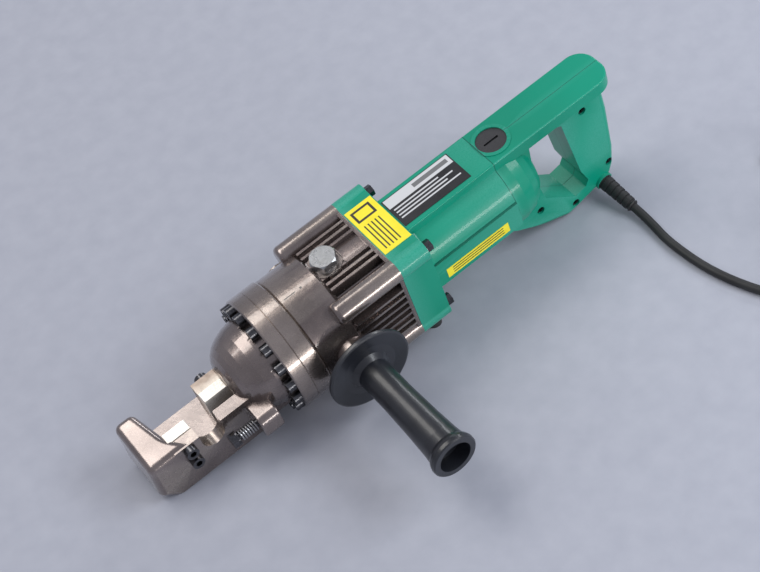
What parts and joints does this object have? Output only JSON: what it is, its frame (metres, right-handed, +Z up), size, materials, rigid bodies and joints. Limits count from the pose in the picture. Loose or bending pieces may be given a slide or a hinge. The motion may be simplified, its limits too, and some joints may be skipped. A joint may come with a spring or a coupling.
{
  "type": "rebar cutter",
  "caption": "Hand-held electric hydraulic rebar cutter: C-shaped head with a sliding cutter block, finned pump case, D-handle, side grip and mains lead.",
  "frame": {"origin": "centre of the tool's footprint at floor level, lead left out", "axes": "+X from the cutting nose towards the grip, +Y away from the side handle, +Z up from the floor"},
  "size_m": [0.5709, 0.2955, 0.1228],
  "materials": {
    "cast_bronze_paint": "glossy warm grey-bronze enamel on cast steel",
    "case_bronze_paint": "glossy warm grey-bronze enamel on cast aluminium",
    "black_screws": "black oxide, slightly oily",
    "zinc_screws": "zinc plated",
    "zinc_plug": "bright zinc plated",
    "cutter_steel": "ground tool steel, cream tint",
    "ground_steel": "fine ground steel",
    "spring_steel": "drawn spring wire",
    "laminations": "stacked sheet steel, varnished",
    "copper_wire": "enamelled copper",
    "brass_holder": "turned brass",
    "carbon": "pressed carbon",
    "seal_rubber": "moulded nitrile rubber",
    "black_rubber": "moulded black rubber, satin",
    "black_nylon": "glass-filled nylon",
    "green_shell": "glossy moulded green shell",
    "trigger_plastic": "brown-black moulded plastic",
    "cap_plastic": "black moulded cap",
    "handle_plastic": "blue-black moulded grip",
    "yellow_label": "printed yellow film with no lettering",
    "black_label": "printed black film with plain blocks, no lettering"
  },
  "bodies": {
    "housing": {"head_casting": "cast_bronze_paint", "head_bolts": "black_screws", "fixed_cutter_block": "cutter_steel", "fixed_block_screws": "black_screws", "stop_spring": "spring_steel", "cylinder": "cast_bronze_paint", "rod_wiper": "seal_rubber", "return_spring": "spring_steel", "pump_case": "case_bronze_paint", "fill_plug": "zinc_plug", "plug_washer": "zinc_plug", "oil_bladder": "seal_rubber", "pump_block": "ground_steel", "pump_plungers": "ground_steel", "plunger_springs": "spring_steel", "pump_bearings": "ground_steel", "gear_plate": "case_bronze_paint", "motor_bearings": "ground_steel", "stator_core": "laminations", "field_coils": "copper_wire", "motor_housing": "green_shell", "case_bolts": "black_screws", "rubber_feet": "black_rubber", "handle_near_shell": "green_shell", "handle_far_shell": "green_shell", "handle_screws": "black_screws", "trigger_pin": "ground_steel", "switch": "black_nylon", "brushes": "carbon", "brush_holders": "brass_holder", "brush_caps": "cap_plastic", "side_handle": "handle_plastic", "side_handle_stud": "zinc_screws", "warning_label": "yellow_label", "rating_plate": "black_label", "side_label": "yellow_label", "cord_guard": "black_rubber", "cord": "black_rubber", "cord_coil": "black_rubber", "plug_body": "black_rubber", "plug_pins": "brass_holder"},
    "ram_assembly": {"ram": "ground_steel", "piston_seal": "seal_rubber", "moving_cutter_block": "cutter_steel", "moving_block_screws": "black_screws"},
    "stop_bolt_body": {"stop_bolt": "black_screws"},
    "trigger_body": {"trigger": "trigger_plastic"},
    "armature": {"armature_shaft": "ground_steel", "armature_core": "laminations", "armature_windings": "copper_wire", "commutator": "copper_wire", "fan": "black_nylon"},
    "pump_drive": {"pump_shaft": "ground_steel", "eccentric_bearing": "ground_steel", "drive_gear": "ground_steel"}
  },
  "joints": [
    {"name": "ram_slide", "type": "slide", "parent": "housing", "child": "ram_assembly", "axis": [-0.9945, 0, -0.1045], "range_m": [0, 0.0205], "stiffness_N_per_m": 1500, "springref_m": -0.01, "deforming": ["return_spring"]},
    {"name": "stop_bolt_slide", "type": "slide", "parent": "housing", "child": "stop_bolt_body", "axis": [-0.9945, 0, -0.1045], "range_m": [0, 0.009], "deforming": ["stop_spring"]},
    {"name": "trigger_hinge", "type": "hinge", "parent": "housing", "child": "trigger_body", "pos_m": [0.15213, 0.0585, 0.10705], "axis": [0, -1, 0], "range_deg": [0, 12], "stiffness_Nm_per_rad": 0.8, "springref_deg": -6.88},
    {"name": "armature_spin", "type": "hinge", "parent": "housing", "child": "armature", "pos_m": [0.05548, 0.0585, 0.06522], "axis": [0.9945, 0, 0.1045], "continuous": true},
    {"name": "pump_shaft_spin", "type": "hinge", "parent": "housing", "child": "pump_drive", "pos_m": [-0.01236, 0.0585, 0.04099], "axis": [0.9945, 0, 0.1045], "continuous": true}
  ],
  "couplings": [
    {"joint": "pump_shaft_spin", "follows": "armature_spin", "ratio": -0.30769}
  ]
}
